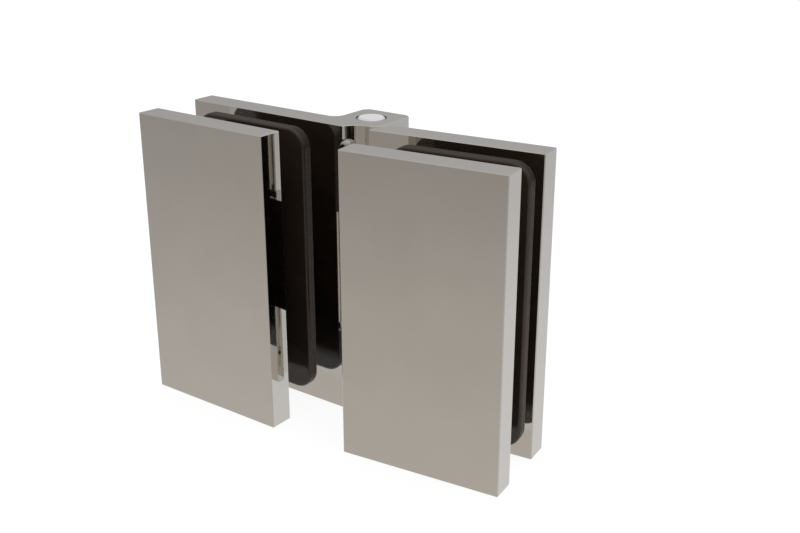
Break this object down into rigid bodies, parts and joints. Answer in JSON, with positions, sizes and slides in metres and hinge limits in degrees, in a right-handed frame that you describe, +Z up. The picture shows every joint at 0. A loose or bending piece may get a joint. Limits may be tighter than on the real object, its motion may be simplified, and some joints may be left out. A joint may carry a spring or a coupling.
{
  "type": "glass door hinge",
  "caption": "Glass-to-glass door hinge: clamp leaves grip two panes and fold back on a barrel that stands behind them, shown a little open.",
  "frame": {"origin": "on the pin's axis, at the pin's lower end, level with the lower edges of both leaves", "axes": "+Z up along the pin, +Y from the panes towards the barrel side, +X along the right leaf, away from the pin"},
  "size_m": [0.1234, 0.045, 0.0903],
  "materials": {
    "polished_chrome": "mirror-polished chrome plate on brass",
    "pin_steel": "ground and faced stainless steel",
    "screw_steel": "satin stainless steel",
    "lock_screw_steel": "bright zinc-plated steel",
    "gasket_rubber": "smooth dark rubber sheet",
    "bush_plastic": "dark acetal",
    "ring_plastic": "dark acetal",
    "sleeve_plastic": "dark nylon"
  },
  "bodies": {
    "right_leaf": {"right_hinge_body": "polished_chrome", "right_front_plate": "polished_chrome", "right_front_gasket": "gasket_rubber", "right_rear_gasket": "gasket_rubber", "right_clamp_screw_upper": "screw_steel", "right_spacer_sleeve_upper": "sleeve_plastic", "right_clamp_screw_lower": "screw_steel", "right_spacer_sleeve_lower": "sleeve_plastic", "upper_flange_bush": "bush_plastic", "lower_flange_bush": "bush_plastic"},
    "left_leaf": {"left_hinge_body": "polished_chrome", "left_front_plate": "polished_chrome", "left_front_gasket": "gasket_rubber", "left_rear_gasket": "gasket_rubber", "left_clamp_screw_upper": "screw_steel", "left_spacer_sleeve_upper": "sleeve_plastic", "left_clamp_screw_lower": "screw_steel", "left_spacer_sleeve_lower": "sleeve_plastic", "hinge_pin": "pin_steel", "top_pin_ring": "ring_plastic", "bottom_pin_ring": "ring_plastic", "upper_pin_lock_screw": "lock_screw_steel", "lower_pin_lock_screw": "lock_screw_steel"}
  },
  "joints": [
    {"name": "leaf_swing", "type": "hinge", "parent": "right_leaf", "child": "left_leaf", "pos_m": [0, 0, 0], "axis": [0, 0, -1], "range_deg": [-6.6, 173.4]}
  ]
}
